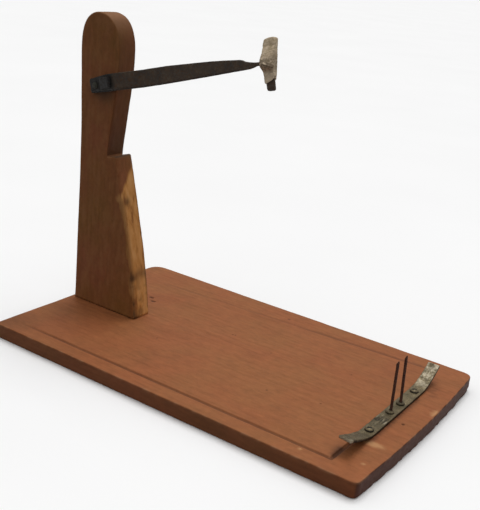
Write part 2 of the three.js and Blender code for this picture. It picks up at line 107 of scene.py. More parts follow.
# each iron finish: dark scale, light scale, rust, and how it shines
GREY = (0.105, 0.085, 0.048), (0.21, 0.165, 0.092), (0.07, 0.048, 0.024)
DULL_GREY = [[0.62 * part for part in tone] for tone in GREY]
BLACK = (0.032, 0.023, 0.017), (0.07, 0.047, 0.029), (0.09, 0.043, 0.02)
SCREW_BLACK = (0.012, 0.011, 0.011), (0.02, 0.018, 0.017), (0.03, 0.02, 0.014)
TAIL_BLACK = (0.02, 0.021, 0.015), (0.045, 0.045, 0.03), (0.03, 0.02, 0.012)
RUSTY = (0.04, 0.016, 0.01), (0.1, 0.034, 0.016), (0.024, 0.012, 0.008)
ZINC = (0.4, 0.4, 0.39), (0.55, 0.55, 0.53), (0.3, 0.25, 0.2)
IRON = {
    "black_iron": {"tones": BLACK, "metallic": 0.3, "roughness": 0.6},
    "dark_steel": {"tones": SCREW_BLACK, "metallic": 0.2, "roughness": 0.6},
    "tail_steel": {"tones": TAIL_BLACK, "metallic": 0.3, "roughness": 0.6},
    "screw_steel": {"tones": GREY, "metallic": 0.7, "roughness": 0.45, "pits": 1.6, "shaded_sides": 0.45},
    "collar_iron": {"tones": DULL_GREY, "metallic": 0.6, "roughness": 0.5, "pits": 1.6, "shaded_sides": 0.5},
    "rusty_iron": {"tones": RUSTY, "metallic": 0.2, "roughness": 0.7},
    "grey_iron": {"tones": GREY, "metallic": 0.75, "roughness": 0.45, "pits": 1.6, "shaded_sides": 0.2,
                  "bright": (0.38, 0.33, 0.24)},
    "hidden_steel": {"tones": ZINC, "metallic": 0.9, "roughness": 0.4},
}


# ---------------------------------------------------------------- meshes

def mesh_points(mesh):
    """A mesh's vertices, one row each, in millimetres."""
    points = np.empty(3 * len(mesh.vertices))
    mesh.vertices.foreach_get("co", points)
    return points.reshape(-1, 3) / MM


def mesh_normals(mesh):
    normals = np.empty(3 * len(mesh.vertices))
    mesh.vertex_normals.foreach_get("vector", normals)
    return normals.reshape(-1, 3)


def set_points(piece, points):
    piece.data.vertices.foreach_set("co", (points * MM).ravel())
    piece.data.update()


def push(piece, amount):
    """Moves each vertex along its normal by its own amount, in millimetres."""
    set_points(piece, mesh_points(piece.data) + mesh_normals(piece.data) * amount[:, None])


def paint(piece, name, values):
    """Gives a piece a number at each vertex, which its material reads by name."""
    attribute = piece.data.attributes.new(name, "FLOAT", "POINT")
    attribute.data.foreach_set("value", np.asarray(values, np.float32))


def lumps(points, size, seed, octaves=3):
    """Smooth noise of about -1 to 1 at each point, in lumps `size` millimetres across."""
    shift = Vector((17.3 * seed, 5.1 * seed, 9.7 * seed))
    return np.array([noise.fractal(Vector(p) / size + shift, 1, 2, octaves) for p in points])


def ease(values, start, end):
    """0 up to start, 1 from end, and a smooth step between them."""
    t = np.clip((values - start) / (end - start), 0, 1)
    return t * t * (3 - 2 * t)


def glow(distance, width):
    """1 at distance 0, and less and less over a width to both sides."""
    return np.exp(-(distance / width) ** 2)


def link(name, mesh):
    piece = bpy.data.objects.new(name, mesh)
    bpy.context.scene.collection.objects.link(piece)
    return piece


def settle(piece):
    """Makes a piece's modifiers part of its mesh."""
    graph = bpy.context.evaluated_depsgraph_get()
    mesh = bpy.data.meshes.new_from_object(piece.evaluated_get(graph))
    piece.modifiers.clear()
    piece.data = mesh
    return piece


def weld(mesh, distance=0.01):
    """Joins vertices that lie within a distance of each other and turns all faces outwards."""
    shape = bmesh.new()
    shape.from_mesh(mesh)
    bmesh.ops.remove_doubles(shape, verts=shape.verts, dist=distance * MM)
    bmesh.ops.recalc_face_normals(shape, faces=shape.faces)
    shape.to_mesh(mesh)
    shape.free()


def cad_copy(name, node):
    mesh = frame["nodes"][node].data.copy()
    mesh.materials.clear()
    weld(mesh)
    return link(name, mesh)


def worn_copy(name, node, voxel, relax):
    """A CAD node's shape with a fine even skin and softened edges."""
    piece = cad_copy(name, node)
    skin = piece.modifiers.new("skin", "REMESH")
    skin.mode = "VOXEL"
    skin.voxel_size = voxel * MM
    soft = piece.modifiers.new("soft", "SMOOTH")
    soft.iterations = relax
    return settle(piece)


def place(piece, body, slot, material, *nodes):
    """Gives a finished piece its material and its body, and hides the CAD nodes that it stands for."""
    piece.data.materials.clear()
    piece.data.materials.append(material)
    piece.data.shade_smooth()
    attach(piece, body)
    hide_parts(*nodes)


# ---------------------------------------------------------------- outlines

def cad_slice(node, axis, at):
    """The longest outline where a plane across an axis cuts a CAD node, as points in the other two axes."""
    shape = bmesh.new()
    shape.from_mesh(frame["nodes"][node].data)
    bmesh.ops.remove_doubles(shape, verts=shape.verts, dist=0.001 * MM)
    normal = Vector([float(axis == other) for other in range(3)])
    bmesh.ops.bisect_plane(shape, geom=shape.verts[:] + shape.edges[:] + shape.faces[:],
                           plane_co=normal * at * MM, plane_no=normal, clear_inner=True, clear_outer=True)
    left = set(shape.verts)
    loops = []
    while left:
        vert = left.pop()
        loop = [vert]
        while vert:
            vert = next((e.other_vert(vert) for e in vert.link_edges if e.other_vert(vert) in left), None)
            if vert:
                left.discard(vert)
                loop.append(vert)
        loops.append(np.array([vert.co for vert in loop]) / MM)
    shape.free()
    longest = max(loops, key=lambda loop: np.linalg.norm(loop - np.roll(loop, 1, 0), axis=1).sum())
    flat = np.delete(longest, axis, 1)
    flat = flat if signed_area(flat) > 0 else flat[::-1]
    # the set is walked from another vertex on each run, so the outline is given a start of its own
    return np.roll(flat, -np.lexsort(flat.T)[0], 0)


def signed_area(loop):
    after = np.roll(loop, -1, 0)
    return (loop[:, 0] * after[:, 1] - loop[:, 1] * after[:, 0]).sum() / 2


def turns(loop):
    """The angle in degrees by which a closed outline turns at each of its points."""
    before = loop - np.roll(loop, 1, 0)
    after = np.roll(loop, -1, 0) - loop
    angle = np.arctan2(after[:, 1], after[:, 0]) - np.arctan2(before[:, 1], before[:, 0])
    return np.degrees((angle + math.pi) % (2 * math.pi) - math.pi)


def smooth_loop(loop, step, straight=0.1, sharp=25):
    """A closed outline as a curve through its points, sharp at its corners, with a point at each step."""
    loop = loop[np.abs(turns(loop)) > straight]
    corner = np.abs(turns(loop)) > sharp
    after = np.roll(loop, -1, 0)
    tangent = after - np.roll(loop, 1, 0)
    tangent /= np.linalg.norm(tangent, axis=1)[:, None]
    out = []
    for i, start in enumerate(loop):
        j = (i + 1) % len(loop)
        end = loop[j]
        length = np.linalg.norm(end - start)
        chord = (end - start) / length
        leave = (chord if corner[i] else tangent[i]) * length
        arrive = (chord if corner[j] else tangent[j]) * length
        parts = max(1, round(length / step))
        for t in np.arange(parts) / parts:
            out.append(start * (2 * t ** 3 - 3 * t ** 2 + 1) + leave * (t ** 3 - 2 * t ** 2 + t)
                       + end * (3 * t ** 2 - 2 * t ** 3) + arrive * (t ** 3 - t ** 2))
    return np.array(out)


def inset(loop, distance):
    """A closed outline moved inwards by a distance."""
    before = loop - np.roll(loop, 1, 0)
    before /= np.linalg.norm(before, axis=1)[:, None]
    after = np.roll(before, -1, 0)
    middle = before + after
    inward = np.stack([-middle[:, 1], middle[:, 0]], 1)
    return loop + inward * (2 * distance / (middle ** 2).sum(1))[:, None]


def inside(points, loop, margin):
    """The points that lie inside an outline, at least a margin away from it."""
    odd = np.zeros(len(points), bool)
    near = np.full(len(points), np.inf)
    for start, end in zip(loop, np.roll(loop, -1, 0)):
        crosses = (start[1] > points[:, 1]) != (end[1] > points[:, 1])
        if start[1] != end[1]:
            at = start[0] + (points[:, 1] - start[1]) / (end[1] - start[1]) * (end[0] - start[0])
            odd ^= crosses & (points[:, 0] < at)
        near = np.minimum(near, off_segment(points, start, end))
    return points[odd & (near > margin)]


def off_segment(points, start, end):
    """Each point's distance from a straight segment."""
    start, end = np.array(start, float), np.array(end, float)
    way = end - start
    t = np.clip((points - start) @ way / (way @ way), 0, 1)
    return np.linalg.norm(points - start - t[:, None] * way, axis=1)


def scatter(loop, step, seed):
    """Evenly spread, slightly irregular points over the inside of an outline."""
    low, high = loop.min(0), loop.max(0)
    rows = np.arange(low[1], high[1], step * 0.87)
    columns = np.arange(low[0], high[0], step)
    points = [(x + step / 2 * (row % 2), y) for row, y in enumerate(rows) for x in columns]
    shake = np.random.default_rng(seed).uniform(-0.18, 0.18, (len(points), 2)) * step
    return inside(np.array(points) + shake, loop, step * 0.55)


# ---------------------------------------------------------------- plates

class Plate:
    """A closed plate: an outline with rounded rims and filled faces, collected as points (u, v, w)."""

    FLAT_FROM = 1.6  # how far inside the outline the flat faces start, in rim radii

    def __init__(self, loop):
        self.loop = loop
        self.points = []
        self.faces = []

    def rim(self, low, high, radius, levels, steps=4):
        """The edge all round, from the low face's rounded rim to the high face's."""
        bend = [math.pi / 2 * k / steps for k in range(steps + 1)]
        rings = [(radius * self.FLAT_FROM, low)]
        rings += [(radius * (1 - math.sin(a)), low + radius * (1 - math.cos(a))) for a in bend]
        rings += [(0, low + radius + (high - low - 2 * radius) * k / levels) for k in range(1, levels)]
        rings += [(radius * (1 - math.sin(a)), high - radius * (1 - math.cos(a))) for a in reversed(bend)]
        rings += [(radius * self.FLAT_FROM, high)]
        count = len(self.loop)
        for ring, (depth, w) in enumerate(rings):
            self.points += [(u, v, w) for u, v in inset(self.loop, depth)]
            base = (ring - 1) * count
            for k in range(count if ring else 0):
                after = (k + 1) % count
                self.faces.append((base + k, base + after, base + count + after, base + count + k))
        self.bounds = inset(self.loop, radius * self.FLAT_FROM)
        return self

    def face(self, w, extra):
        """One flat face, with the extra points as vertices."""
        points = [Vector(p) for p in np.vstack([self.bounds, extra])]
        border = list(range(len(self.bounds)))
        flat, _, triangles = geometry.delaunay_2d_cdt(points, [], [border], 1, 1e-4)[:3]
        base = len(self.points)
        self.points += [(u, v, w) for u, v in flat]
        self.faces += [tuple(base + k for k in triangle) for triangle in triangles]
        return self

    def piece(self, name, order):
        """The plate as an object; order says which of u, v, w is X, Y and Z."""
        mesh = bpy.data.meshes.new(name)
        mesh.from_pydata((np.array(self.points)[:, order] * MM).tolist(), [], self.faces)
        weld(mesh)
        return link(name, mesh)


def bore(piece, nodes, gap=0.25):
    """Cuts the ways of screws and nails out of a piece, and opens the heads' recesses at the underside."""
    for node in nodes:
        cutter = cad_copy("cutter", node)
        push(cutter, np.full(len(cutter.data.vertices), gap))
        points = mesh_points(cutter.data)
        points[points[:, 2] < 1, 2] = -2  # a head's face goes out through the underside
        set_points(cutter, points)
        cut = piece.modifiers.new("bore", "BOOLEAN")
        cut.object = cutter
        cut.solver = "EXACT"
        settle(piece)
        bpy.data.objects.remove(cutter)


# ---------------------------------------------------------------- materials

def fill_ramp(node, stops):
    """Sets a colour ramp's stops, each a place and a grey level or a colour."""
    elements = node.color_ramp.elements
    while len(elements) < len(stops):
        elements.new(0.5)
    for element, (at, colour) in zip(elements, stops):
        is_grey = isinstance(colour, (int, float))
        element.position = at
        element.color = (colour, colour, colour, 1) if is_grey else (*colour, 1)


class Finish:
    """A material's node tree. Each method adds nodes and returns the socket that comes out."""

    def __init__(self, name):
        self.material = bpy.data.materials.new(name)
        self.material.use_nodes = True
        self.tree = self.material.node_tree
        self.tree.nodes.clear()

    def add(self, kind, inputs, output=0, **settings):
        node = self.tree.nodes.new("ShaderNode" + kind)
        for key, value in settings.items():
            setattr(node, key, value)
        for key, value in inputs.items():
            if isinstance(value, bpy.types.NodeSocket):
                self.tree.links.new(value, node.inputs[key])
            else:
                node.inputs[key].default_value = value
        return node.outputs[output] if node.outputs else node

    def where(self, stretch=(1, 1, 1), shift=(0, 0, 0)):
        """The piece's own coordinates in millimetres, stretched for a pattern that runs one way."""
        here = self.add("TexCoord", {}, "Object")
        return self.add("Mapping", {"Vector": here, "Scale": [s / MM for s in stretch], "Location": shift})

    def noise(self, size, stretch=(1, 1, 1), detail=3, rough=0.55, shift=(0, 0, 0)):
        """Noise with lumps `size` mm across; stretch below 1 lengthens them along that axis."""
        inputs = {"Vector": self.where(stretch, shift), "Scale": 1 / size}
        return self.add("TexNoise", {**inputs, "Detail": detail, "Roughness": rough})

    def painted(self, name):
        return self.add("Attribute", {}, "Fac", attribute_name=name)

    def ramp(self, fac, *stops):
        """A colour ramp; each stop is a place and a grey level or a colour."""
        node = self.tree.nodes.new("ShaderNodeValToRGB")
        self.tree.links.new(fac, node.inputs[0])
        fill_ramp(node, stops)
        return node.outputs[0]

    def mix(self, fac, first, second, blend="MIX"):
        ends = [c if isinstance(c, bpy.types.NodeSocket) else (*c, 1) for c in (first, second)]
        inputs = {0: fac, 6: ends[0], 7: ends[1]}
        return self.add("Mix", inputs, 2, data_type="RGBA", blend_type=blend)

    def math(self, operation, *values):
        return self.add("Math", dict(enumerate(values)), operation=operation)

    def facing(self, axis):
        """The surface normal's X, Y or Z."""
        return self.add("SeparateXYZ", {0: self.add("NewGeometry", {}, "Normal")}, axis)

    def between(self, value, low, high):
        """0 at low and below, 1 at high and above, smooth between."""
        inputs = {"Value": value, "From Min": low, "From Max": high}
        return self.add("MapRange", inputs, interpolation_type="SMOOTHSTEP")

    def bump(self, height, distance, strength=1.0, normal=None):
        """Raises the surface by up to a distance in millimetres."""
        inputs = {"Height": height, "Distance": distance * MM, "Strength": strength}
        if normal:
            inputs["Normal"] = normal
        return self.add("Bump", inputs)

    def done(self, colour, roughness, metallic, normal, **constants):
        inputs = {"Base Color": colour, "Roughness": roughness, "Metallic": metallic, "Normal": normal}
        shader = self.add("BsdfPrincipled", {**inputs, **constants})
        self.add("OutputMaterial", {"Surface": shader})
        return self.material


WOOD = {"Specular IOR Level": 0.2}


def wood_tone(finish, grain, red, olive, shift=(0, 0, 0)):
    """Oiled wood: two tones in broad patches, streaks along the grain's axis, dark pores and a mottle."""
    def along_grain(size, stretch, detail, rough):
        way = [stretch if axis == grain else 1 for axis in range(3)]
        return finish.noise(size, way, detail, rough, shift)

    patches = finish.noise(size=55, shift=shift)
    tone = finish.mix(finish.ramp(patches, (0.36, 0), (0.66, 1)), red, olive)
    streaks = along_grain(size=4, stretch=0.05, detail=4, rough=0.6)
    streaky = finish.ramp(streaks, (0.25, 0.74), (0.5, 1.0), (0.75, 1.12))
    tone = finish.mix(0.4, tone, streaky, "MULTIPLY")
    pores = along_grain(size=0.9, stretch=0.3, detail=2, rough=0.5)
    tone = finish.mix(0.15, tone, finish.ramp(pores, (0.28, 0.6), (0.42, 1.0)), "MULTIPLY")
    mottle = along_grain(size=5, stretch=0.45, detail=5, rough=0.75)
    tone = finish.mix(1.0, tone, finish.ramp(mottle, (0.3, 0.84), (0.7, 1.14)), "MULTIPLY")
    return tone, streaks, pores


def board_finish():
    finish = Finish("oiled_board")
    red, olive = (0.3, 0.098, 0.034), (0.285, 0.105, 0.035)
    tone, streaks, pores = wood_tone(finish, 0, red, olive)
    # painted shade: faces that don't look up are darker and cooler, and the front end face darker and
    # cooler still
    side = finish.math("SUBTRACT", 1, finish.between(finish.facing(2), 0.2, 0.9))
    tone = finish.mix(finish.math("MULTIPLY", side, 0.9), tone, (0.72, 0.7, 0.8), "MULTIPLY")
    front_end_shade = finish.between(finish.facing(0), 0.5, 0.9)
    tone = finish.mix(front_end_shade, tone, (0.42, 0.42, 0.6), "MULTIPLY")
    tone = finish.mix(finish.painted("worn"), tone, (0.36, 0.17, 0.085))
    tone = finish.mix(finish.painted("pale"), tone, (0.44, 0.215, 0.09))
    # grime, painted shade in the groove and painted shadows of the iron strip
    tone = finish.mix(finish.painted("dirt_and_shade"), tone, (0.045, 0.016, 0.007))
    stain = finish.noise(size=38, stretch=(0.6, 1, 1), rough=0.6, shift=(9, 4, 0))
    tone = finish.mix(0.8, tone, finish.ramp(stain, (0.28, 0.86), (0.5, 1.0)), "MULTIPLY")
    rough = finish.ramp(streaks, (0.3, 0.7), (0.7, 0.6))
    normal = finish.bump(pores, 0.12, 0.5, finish.bump(streaks, 0.2, 0.5))
    return finish.done(tone, rough, 0, normal, **WOOD)


def post_finish():
    finish = Finish("oiled_post")
    red, olive = (0.225, 0.074, 0.028), (0.205, 0.085, 0.022)
    tone, streaks, pores = wood_tone(finish, 2, red, olive, shift=(3, 8, 1))
    crown = finish.between(finish.facing(2), 0.15, 0.75)
    tone = finish.mix(finish.math("MULTIPLY", crown, 0.8), tone, (0.23, 0.105, 0.042))
    tone = finish.mix(finish.painted("worn"), tone, (0.27, 0.115, 0.042))
    bare_grain = finish.noise(size=7, stretch=(1, 1, 0.25), rough=0.6, shift=(1, 5, 2))
    bare_tones = (0.3, (0.3, 0.115, 0.03)), (0.45, (0.55, 0.25, 0.07)), (0.7, (0.66, 0.34, 0.12))
    bare = finish.ramp(bare_grain, *bare_tones)
    tone = finish.mix(finish.painted("bare"), tone, bare)
    # dirt, with painted shade on the near arris, along the foot and below the strap
    tone = finish.mix(finish.painted("dirt_and_shade"), tone, (0.045, 0.02, 0.009))
    rough = finish.ramp(streaks, (0.3, 0.74), (0.7, 0.62))
    normal = finish.bump(pores, 0.12, 0.5, finish.bump(streaks, 0.3, 0.5))
    return finish.done(tone, rough, 0, normal, **WOOD)


def iron_finish(name, tones, metallic, roughness, pits=2.2, bright=None, shaded_sides=1.0):
    """Forged iron: two tones of scale, rusty specks and fine pits.

    Faces that don't look up can get painted shade, down to a given share of their tone, and scraped places
    show the bright tone.
    """
    finish = Finish(name)
    dark, light, rust = tones
    scale = finish.noise(size=9, detail=4, rough=0.6)
    tone = finish.mix(finish.ramp(scale, (0.35, 0), (0.65, 1)), dark, light)
    specks = finish.noise(pits, rough=0.65, shift=(4, 2, 7))
    tone = finish.mix(finish.ramp(specks, (0.5, 0), (0.68, 0.8)), tone, rust)
    # painted shade on faces that don't look up
    if shaded_sides < 1:
        tone = finish.mix(finish.between(finish.facing(2), 0.6, 0.1), tone, [shaded_sides] * 3, "MULTIPLY")
    if bright:
        patches = finish.noise(size=8, rough=0.6, shift=(6, 3, 1))
        patchy = finish.ramp(patches, (0.46, 1), (0.58, 0.05))
        shine = finish.math("MULTIPLY", finish.painted("bright"), patchy)
        tone = finish.mix(finish.math("MAXIMUM", shine, finish.painted("scraped")), tone, bright)
    # soot and dark streaks, with painted shade along the arm's lower border and painted shadow on the screw
    # heads' near rims
    tone = finish.mix(finish.painted("soot_and_shade"), tone, (0.01, 0.009, 0.008))
    rough = finish.ramp(specks, (0.35, roughness), (0.65, min(1, roughness + 0.25)))
    normal = finish.bump(specks, 0.35, 0.6, finish.bump(scale, 0.4, 0.4))
    return finish.done(tone, rough, metallic, normal)


def tape_finish():
    """Soiled cloth tape: a fine weave, grey-brown smears and darker overlaps."""
    finish = Finish("cloth_tape")
    smear = finish.noise(size=9, detail=4, rough=0.6, shift=(2, 6, 3))
    tones = (0.3, (0.44, 0.33, 0.21)), (0.5, (0.62, 0.49, 0.34)), (0.72, (0.78, 0.66, 0.49))
    tone = finish.ramp(smear, *tones)
    spots = finish.noise(size=2.4, rough=0.6, shift=(8, 1, 5))
    tone = finish.mix(finish.ramp(spots, (0.48, 0), (0.66, 0.6)), tone, (0.3, 0.24, 0.12))
    # lighter towards the tape's low end, and a painted highlight on the fold's ridge
    tone = finish.mix(finish.painted("pale_and_highlight"), tone, (0.98, 0.8, 0.58))
    # dirt, with a painted shadow under the fold
    tone = finish.mix(finish.painted("dirt_and_shade"), tone, (0.2, 0.14, 0.09))
    wave = {"Vector": finish.where(), "Scale": 0.9, "Distortion": 1.5, "Detail": 2}
    weave = finish.add("TexWave", wave)
    threads = finish.noise(size=0.5, detail=2)
    tone = finish.mix(0.35, tone, finish.ramp(threads, (0.3, 0.8), (0.7, 1.1)), "MULTIPLY")
    normal = finish.bump(threads, 0.12, 0.6, finish.bump(weave, 0.08, 0.4, finish.bump(smear, 0.5, 0.5)))
    return finish.done(tone, finish.ramp(spots, (0.3, 0.8), (0.7, 0.95)), 0, normal)


# ---------------------------------------------------------------- board

def groove_shape(flat):
    """How deep the groove is at each point of the board's top, and how much darker it is painted there, as
    grime and as shade in the hollow; it fades out at both ends.
    """
    depth = np.zeros(len(flat))
    dirt_and_shade = np.zeros(len(flat))
    from_back, across = flat.T
    behind_strip = ease(across, 30, 80) * ease(from_back, 408, 414)
    far_back = ease(across, 80, 90) * ease(-from_back, -300, -220)
    fade = ease(from_back, 5, 80) * (1 - behind_strip) * (1 - 0.6 * far_back)
    for start, end, (half, deep, darkening) in zip(GROOVE, GROOVE[1:], RUNS):
        shape = fade * np.clip(1 - (off_segment(flat, start, end) / half) ** 2, 0, 1)
        depth = np.maximum(depth, deep * shape)
        dirt_and_shade = np.maximum(dirt_and_shade, darkening * shape)
    return depth, dirt_and_shade


def groove_rows(step=2.4):
    """Rows of points along the groove, close enough together to give it its shape."""
    shares = (0.45, 0.8, 0.98, 1.12, 1.5)  # the rows' distances from the middle, in half widths
    rows = []
    for start, end, (half, _, _) in zip(GROOVE, GROOVE[1:], RUNS):
        start, end = np.array(start, float), np.array(end, float)
        length = np.linalg.norm(end - start)
        way = (end - start) / length
        across = np.array([-way[1], way[0]])
        for share in [-s for s in reversed(shares)] + [0, *shares]:
            for along in np.arange(-half, length + half, step):
                rows.append(start + way * along + across * share * half)
    return np.array(rows)


def dent_rings():
    """Points in rings round each dent."""
    angles = np.arange(8) * math.pi / 4
    rings = (0.05, 0.5, 0.9, 1.3)  # in the dent's radius
    return np.array([(x + radius * ring * math.cos(angle), y + radius * ring * math.sin(angle))
                     for x, y, radius, _ in DENTS for ring in rings for angle in angles])


def thin_out(points, apart):
    """Drops points that lie closer together than a distance."""
    cells = np.unique(np.round(points / apart).astype(int), axis=0, return_index=True)[1]
    return points[np.sort(cells)]


def board_top_points(bounds):
    """Vertices for the board's top: the groove and the dents in detail, the rest evenly spread."""
    shift = np.array([BACK, 0])
    detail = np.vstack([groove_rows(), dent_rings()])
    plain = scatter(bounds, step=3.4, seed=1)
    clear = np.full(len(plain), np.inf)
    for start, end, (half, _, _) in zip(GROOVE, GROOVE[1:], RUNS):
        clear = np.minimum(clear, off_segment(plain - shift, start, end) - 1.5 * half)
    for x, y, radius, _ in DENTS:
        clear = np.minimum(clear, np.linalg.norm(plain - shift - (x, y), axis=1) - 1.3 * radius)
    detail = inside(thin_out(detail, apart=0.35) + shift, bounds, margin=1)
    return np.vstack([detail, plain[clear > 1.2]])


def board_shadows_and_darkening(flat, small):
    """Painted shadows on the board's top beside the strip and under the strip's far end, and a darkening in
    its back corner.
    """
    shadow_lines = sum(strength * glow(off_segment(flat, start, end), width)
                 for start, end, width, strength in STRIP_SHADOWS)
    corner = 0.3 * ease(-flat[:, 0], -60, -5) * ease(-flat[:, 1], 80, 120)
    start, end, width, strength = FAR_END_SHADOW
    far_end = strength * glow(off_segment(flat, start, end), width) * ease(small, -0.4, 0.3)
    return shadow_lines + corner + far_end


def make_board(material):
    outline = smooth_loop(cad_slice("base_board", 2, TOP / 2), step=3)
    plate = Plate(outline).rim(0, TOP, radius=1.3, levels=8)
    plate.face(0, scatter(plate.bounds, step=9, seed=2))
    plate.face(TOP, board_top_points(plate.bounds))
    piece = plate.piece("base_board_worn", [0, 1, 2])
    points = mesh_points(piece.data)
    normals = mesh_normals(piece.data)
    flat = points[:, :2] - (BACK, 0)
    top = points[:, 2] > TOP - 0.01
    groove, dirt_and_shade = groove_shape(flat)
    dented = np.zeros(len(points))
    for x, y, radius, depth in DENTS:
        off = np.linalg.norm(flat - (x, y), axis=1) / radius
        dented = np.maximum(dented, depth * np.clip(1 - off ** 2, 0, 1))
    pale = np.zeros(len(points))
    for x, y, half_x, half_y in PALE:
        off = np.hypot((flat[:, 0] - x) / half_x, (flat[:, 1] - y) / half_y)
        pale = np.maximum(pale, 1 - ease(off, 0.5, 1.2))
    wavy = lumps(points, size=60, seed=1, octaves=2)
    small = lumps(points, size=9, seed=2)
    # the top's groove, dents and slight waves
    points[top, 2] -= (groove + dented)[top]
    points[:, 2] += np.where(points[:, 2] > TOP / 2, 0.3 * wavy + 0.06 * small - 0.15, 0)
    # uneven sides, with nicks along the lower edge of the front end
    sideways = np.linalg.norm(normals[:, :2], axis=1)
    low_edge = ease(-points[:, 2], -7, -1) * ease(flat[:, 0], 300, 440)
    nicks = low_edge * (1.5 * np.clip(small + 0.15, 0, 1) + 0.8 * np.clip(wavy, 0, 1))
    uneven = sideways * (0.5 * wavy + 0.18 * small)
    points[:, :2] += normals[:, :2] * (uneven - nicks)[:, None]
    points[:, 2] += nicks * 0.8 * (sideways > 0.1)
    points[:, 2] = np.maximum(points[:, 2], 0)
    set_points(piece, points)
    top_rim = ease(points[:, 2], TOP - 2.2, TOP - 0.9) * ease(sideways, 0.1, 0.5)
    paint(piece, "worn", 0.55 * top_rim * ease(small, -0.2, 0.5))
    paint(piece, "pale", pale * (points[:, 2] > TOP - 2))
    # the groove darker with grime and painted shade, the dents darker with their depth, and the strip's
    # painted shadows
    dirt_and_shade = dirt_and_shade + 0.7 * np.sqrt(dented) + board_shadows_and_darkening(flat, small)
    paint(piece, "dirt_and_shade", top * np.clip(dirt_and_shade, 0, 0.85))
    cradle_nodes = ["spike_1", "spike_2", "cradle_screw_1", "cradle_screw_2"]
    bore(piece, ["post_screw_1", "post_screw_2", *cradle_nodes])
    place(piece, "stand", "board_wood", material, "base_board")


# ---------------------------------------------------------------- post

def bare_wood(outline, points, normals, above, across, small, stretched):
    """Where the post's pale wood shows: the lower front, and chips over its near arris."""
    border = BARE_TOP[0] + (BARE_TOP[1] - BARE_TOP[0]) * across + 4 * small
    bare = ease(normals[:, 0], 0.45, 0.75) * ease(border - above, -2, 3)
    edge = outline[outline[:, 0] > POST_LOW[0] + 50]
    edge = edge[np.argsort(edge[:, 1])]
    from_edge = np.interp(points[:, 2], edge[:, 1], edge[:, 0]) - points[:, 0]
    reach = 1.4 + 5 * lumps(stretched, size=7, seed=16) + 3.5 * glow(above - 131, 10)
    chips = ease(-normals[:, 1], 0.4, 0.8) * ease(reach - from_edge, -1, 1)
    return np.maximum(bare, 0.8 * chips * ease(above, 15, 40) * ease(-above, -146, -138))


def bare_dirt_and_shade(points, above, across, wavy):
    """Dirt and painted shade on the pale wood: a blotch, a band, darker arrises, low dirt and a shaded
    foot.
    """
    blotch = 0.75 * glow(above - 134, 5) * glow(across - 0.35, 0.16)
    band = 0.5 * glow(above - 50 - 6 * wavy, 5)
    far_arris = 0.55 * ease(across, 0.9, 0.99) * ease(above, 5, 20)
    # the near arris darker: dirt, and painted shade on its rounded corner
    near_arris = 0.55 * ease(-across, -0.3, -0.02) * ease(-above, -150, -130)
    # painted shade along the foot, where the post meets the board
    foot_shade = 0.6 * ease(-above, -14, -2) * ease(-across, -0.5, 0)
    low = 0.4 * ease(-above, -75, -15) * ease(lumps(points, size=9, seed=19), -0.2, 0.3)
    return low + blotch + band + far_arris + near_arris + foot_shade


def front_dirt_and_shade(points, normals, above, front):
    """The post's hollow front darker above the ledge, dirt on the ledge, and round the arm's screws below
    the strap a dark patch, partly stain and partly painted shadow.
    """
    neck = ease(points[:, 0], POST_LOW[0] + 36, POST_LOW[0] + 44) * ease(above, NOTCH - 2, NOTCH + 1)
    hollow = neck * front * (0.25 + 0.35 * ease(-above, -250, -190))
    ledge = 0.75 * neck * ease(-above, -NOTCH - 4, -NOTCH - 2) * ease(normals[:, 2], 0.5, 0.8)
    # a dark patch below the strap: partly stain, partly painted shadow of the strap
    soot_and_shade = glow(points[:, 0] - POST_LOW[0] - 37, 15) * glow(above - 252, 11)
    return hollow + ledge + 0.8 * soot_and_shade * ease(-normals[:, 1], 0.5, 0.9)


def make_post(material):
    outline = cad_slice("post", 1, POST_HIGH[1] - 4)
    plate = Plate(smooth_loop(outline, step=2.6)).rim(POST_LOW[1], POST_HIGH[1], radius=1.5, levels=9)
    for side, seed in ((POST_LOW[1], 3), (POST_HIGH[1], 4)):
        plate.face(side, scatter(plate.bounds, step=3, seed=seed))
    piece = plate.piece("post_worn", [0, 2, 1])
    points = mesh_points(piece.data)
    normals = mesh_normals(piece.data)
    above = points[:, 2] - TOP
    stretched = points * (1, 1, 0.25)  # for patterns that run up the post
    wavy = lumps(stretched, size=22, seed=5, octaves=2)
    small = lumps(stretched, size=5, seed=6)
    arris = ease(np.abs(points[:, 1] - (POST_LOW[1] + POST_HIGH[1]) / 2), 9, 13.5)
    front = ease(normals[:, 0], 0.35, 0.8)
    lower_front = front * ease(-above, -NOTCH - 1, -NOTCH + 7)
    chips = lower_front * arris * np.clip(small + 0.1, 0, 1) * (1 + ease(above, 110, 150))
    off_foot = ease(above, 1.5, 6)
    uneven = 0.35 * wavy + 0.12 * small + 0.25 * lower_front * wavy
    push(piece, off_foot * uneven - 1.6 * chips)
    points = mesh_points(piece.data)
    across = (points[:, 1] - POST_LOW[1]) / (POST_HIGH[1] - POST_LOW[1])  # 0 at the near face, 1 at the far
    bare = bare_wood(outline, points, normals, above, across, small, stretched)
    paint(piece, "bare", bare)
    # dirt and painted shade on the pale face, the hollow front and below the strap
    dirt_and_shade = bare * bare_dirt_and_shade(points, above, across, wavy)
    paint(piece, "dirt_and_shade", np.clip(dirt_and_shade + front_dirt_and_shade(points, normals, above, front), 0, 0.85))
    paint(piece, "worn", 0.5 * arris * ease(np.abs(normals[:, 1]), 0.2, 0.5) * ease(small, -0.1, 0.5))
    bore(piece, ["post_screw_1", "post_screw_2", "arm_coach_screw", "arm_tail_screw"])
    place(piece, "stand", "post_wood", material, "post")


# ---------------------------------------------------------------- iron

